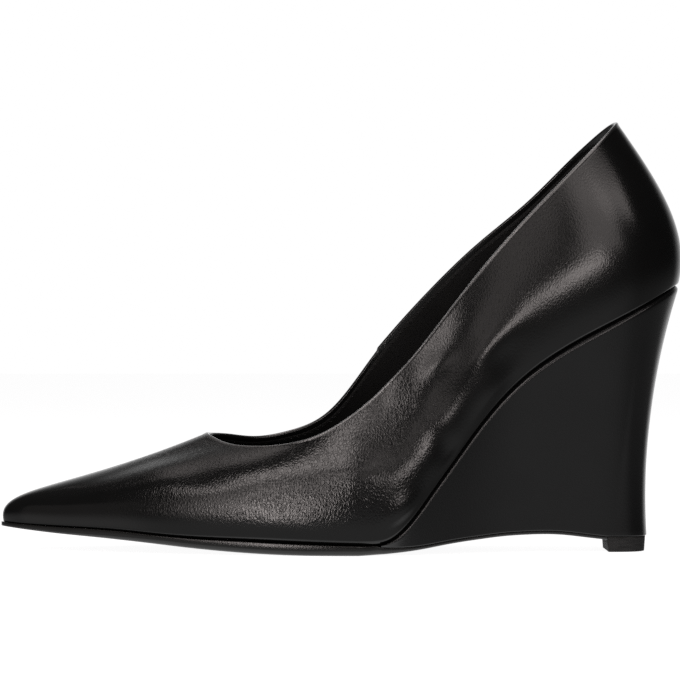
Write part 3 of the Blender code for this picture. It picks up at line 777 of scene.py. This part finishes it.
# Top piece: the small lift of hard black rubber under the heel, cemented and nailed to the wedge,
# its breast straight, its back rounded, its edges ground.
TOP_PIECE_HEIGHT = 5.2
TOP_PIECE_TAPER = 0.4
TOP_PIECE_INSET = 0.5
TOP_PIECE_ROUND = 0.45
TOP_PIECE_STATIONS = 60
SPECK_SCALE = 2600.0
GRIND_SCALE = 2200.0
GRIND_STREAK = (0.12, 0.12, 1.0)
RUBBER_BUMP = 0.05
RUBBER_COLOURS = ((0.022, 0.022, 0.022), (0.034, 0.034, 0.034))
RUBBER_ROUGHNESS = (0.80, 0.92)

x = stations(TOP_PIECE_FRONT, WEDGE_BACK - TOP_PIECE_INSET, TOP_PIECE_STATIONS)
lateral, medial = wedge_foot(x + TOP_PIECE_INSET)
middle = (TOP_PIECE_FRONT + WEDGE_BACK) / 2
low_x = middle + (x - middle) * (1 - TOP_PIECE_TAPER / (WEDGE_BACK - middle))
narrow = 1 - TOP_PIECE_TAPER / medial.max()
flat = np.zeros(len(x))
lift = slab((low_x, flat), (x, flat + TOP_PIECE_HEIGHT), (lateral * narrow, lateral),
            (medial * narrow, medial), (TOP_PIECE_ROUND, TOP_PIECE_ROUND))
rows, count = lift.shape[:2]
faces = quads(rows, count, wrap_columns=True) + [list(range(count))]
rubber = bpy.data.materials.new("lift_rubber")
rubber.use_nodes = True
tree = rubber.node_tree
place = node(tree, "TexCoord").outputs["Object"]
speck = node(tree, "TexNoise", {"Vector": place, "Scale": SPECK_SCALE, "Detail": 3.0}).outputs[0]
streak = node(tree, "Mapping", {"Vector": place, "Scale": GRIND_STREAK}).outputs[0]
ground = node(tree, "TexNoise", {"Vector": streak, "Scale": GRIND_SCALE, "Detail": 2.0}).outputs[0]
relief = maths(tree, "ADD", speck, ground)
bump = node(tree, "Bump", {"Height": relief, "Distance": RUBBER_BUMP * MM})
surface = tree.nodes["Principled BSDF"]
shade = mixed(tree, spread(tree, ground, *NOISE_RANGE), *RUBBER_COLOURS)
gloss = spread(tree, speck, *NOISE_RANGE, *RUBBER_ROUGHNESS)
tree.links.new(shade, surface.inputs["Base Color"])
tree.links.new(gloss, surface.inputs["Roughness"])
surface.inputs["Specular IOR Level"].default_value = MATT_SPECULAR
tree.links.new(bump.outputs[0], surface.inputs["Normal"])
add_piece("heel_lift", lift, faces, rubber, replaces="top_piece")

# Floor, light and camera: a plain white sweep and backdrop, a bank of soft boxes on the camera's
# side and a few overhead and behind, set by the highlights they leave on the leather.  The camera
# looks straight at the lateral side, level with the middle of the shoe.
FLOOR_HALF = 6.0
FLOOR_GREY = (0.5, 0.5, 0.5, 1.0)
FLOOR_GLOW = 0.93
WHITE = (1.0, 1.0, 1.0, 1.0)
CAMERA_DISTANCE = 1.15
CAMERA_HEIGHT = 0.0735
FRAME_WIDTH = 0.23841
SENSOR = 36.0
BOX_DISTANCE = 1.4
LAMP_COLOUR = (1.07, 0.98, 0.955)

mesh = bpy.data.meshes.new("floor")
square = [(-FLOOR_HALF, -FLOOR_HALF, 0), (FLOOR_HALF, -FLOOR_HALF, 0),
          (FLOOR_HALF, FLOOR_HALF, 0), (-FLOOR_HALF, FLOOR_HALF, 0)]
mesh.from_pydata(square, [], [(0, 1, 2, 3)])
floor = bpy.data.objects.new("floor", mesh)
bpy.context.scene.collection.objects.link(floor)
white = bpy.data.materials.new("white_sweep")
white.use_nodes = True
surface = white.node_tree.nodes["Principled BSDF"]
surface.inputs["Base Color"].default_value = FLOOR_GREY
surface.inputs["Roughness"].default_value = 1.0
surface.inputs["Specular IOR Level"].default_value = 0.0
surface.inputs["Emission Color"].default_value = WHITE
surface.inputs["Emission Strength"].default_value = FLOOR_GLOW
mesh.materials.append(white)
floor.visible_glossy = False
floor.visible_diffuse = False
floor.visible_shadow = False


def soft_box(name, azimuth, elevation, wide, tall, brightness, roll):
    """A rectangular light seen from the shoe at an azimuth from the camera's side and an
    elevation, facing the shoe; wide and tall are the angles it fills, roll lifts its right end,
    and its power gives its face the brightness."""
    width, height = 2 * BOX_DISTANCE * np.tan(np.radians([wide, tall]) / 2)
    lamp = bpy.data.lights.new(name, "AREA")
    lamp.shape = "RECTANGLE"
    lamp.size, lamp.size_y = width, height
    lamp.energy = brightness * np.pi * width * height
    lamp.color = LAMP_COLOUR
    box = bpy.data.objects.new(name, lamp)
    azimuth, elevation = np.radians([azimuth, elevation])
    away = Vector((np.sin(azimuth) * np.cos(elevation), -np.cos(azimuth) * np.cos(elevation),
                   np.sin(elevation)))
    box.location = Vector((0, 0, CAMERA_HEIGHT)) + away * BOX_DISTANCE
    facing = away.to_track_quat("Z", "Y") @ Quaternion((0, 0, 1), np.radians(roll))
    box.rotation_euler = facing.to_euler()
    box.visible_camera = False
    bpy.context.scene.collection.objects.link(box)


# Name, azimuth, elevation, width and height in degrees, brightness, and roll in degrees.
SOFT_BOXES = [
    ("left_box", -28.0, 16.0, 16.0, 36.0, 1.5, 0.0),
    ("left_edge_box", -20.2, 22.0, 5.5, 12.0, 4.2, 0.0),
    ("low_box", -18.6, 2.5, 4.2, 22.0, 12.0, 0.0),
    ("left_top_box", -33.5, 44.0, 15.0, 15.0, 4.4, 0.0),
    ("top_box", -20.0, 43.0, 14.0, 14.0, 1.2, 0.0),
    ("front_box", 1.0, 22.0, 9.0, 22.0, 0.8, 0.0),
    ("middle_strip", 17.4, 12.4, 15.2, 6.0, 5.6, 28.0),
    ("right_box", 24.5, 27.0, 19.0, 17.0, 1.4, 0.0),
    ("right_far_box", 41.0, 34.0, 22.0, 8.0, 1.15, 0.0),
    ("right_top_box", 26.0, 39.0, 48.0, 12.0, 1.0, 0.0),
    ("overhead_box", -115.0, 66.0, 28.0, 14.0, 1.1, 0.0),
    ("rear_top_box", -148.0, 52.0, 11.0, 12.0, 0.5, 0.0),
    ("zenith_box", 0.0, 85.0, 26.0, 26.0, 2.4, 0.0),
    ("left_wall", -60.0, 0.0, 22.0, 44.0, 0.12, 0.0),
]
for row in SOFT_BOXES:
    soft_box(*row)

# The room as the leather mirrors it: a lit backdrop that fades upwards, a grey floor in front that
# fades on the heel's side, and white floor straight below.  The camera itself sees only white.
# Each row is where along a direction's x, y or z the fade starts and ends, then its two values.
BACKDROP_AHEAD = (0.45, 0.95, 0.0, 1.0)
BACKDROP_RISE = (0.25, 0.75, 1.0, 0.2)
NEAR_FLOOR_HEEL = (0.50, 0.85, 1.0, 0.45)
NEAR_FLOOR_RISE = (-0.25, 0.08, 0.36, 0.05)
FLOOR_BELOW_RISE = (-0.75, -0.38, 1.0, 0.0)

world = bpy.data.worlds.new("studio")
bpy.context.scene.world = world
world.use_nodes = True
tree = world.node_tree
toward = node(tree, "SeparateXYZ", {0: node(tree, "TexCoord").outputs["Generated"]}).outputs
ahead, rise = toward["Y"], toward["Z"]
far_wall = spread(tree, rise, *BACKDROP_RISE)
backdrop = maths(tree, "MULTIPLY", spread(tree, ahead, *BACKDROP_AHEAD), far_wall)
heel_side = spread(tree, toward["X"], *NEAR_FLOOR_HEEL)
near_floor = maths(tree, "MULTIPLY", heel_side, spread(tree, rise, *NEAR_FLOOR_RISE))
floor_below = spread(tree, rise, *FLOOR_BELOW_RISE)
glow = maths(tree, "MAXIMUM", backdrop, maths(tree, "MAXIMUM", near_floor, floor_below))
glow = maths(tree, "MAXIMUM", glow, node(tree, "LightPath").outputs["Is Camera Ray"])
tree.links.new(glow, tree.nodes["Background"].inputs["Strength"])
tree.nodes["Background"].inputs["Color"].default_value = WHITE
bpy.context.scene.view_settings.view_transform = "Standard"
bpy.context.scene.cycles.use_denoising = False

camera = bpy.data.objects.new("camera", bpy.data.cameras.new("camera"))
camera.data.sensor_width = SENSOR
camera.data.lens = SENSOR * CAMERA_DISTANCE / FRAME_WIDTH
camera.location = (0.0, -CAMERA_DISTANCE, CAMERA_HEIGHT)
camera.rotation_euler = (np.pi / 2, 0.0, 0.0)
bpy.context.scene.collection.objects.link(camera)
bpy.context.scene.camera = camera
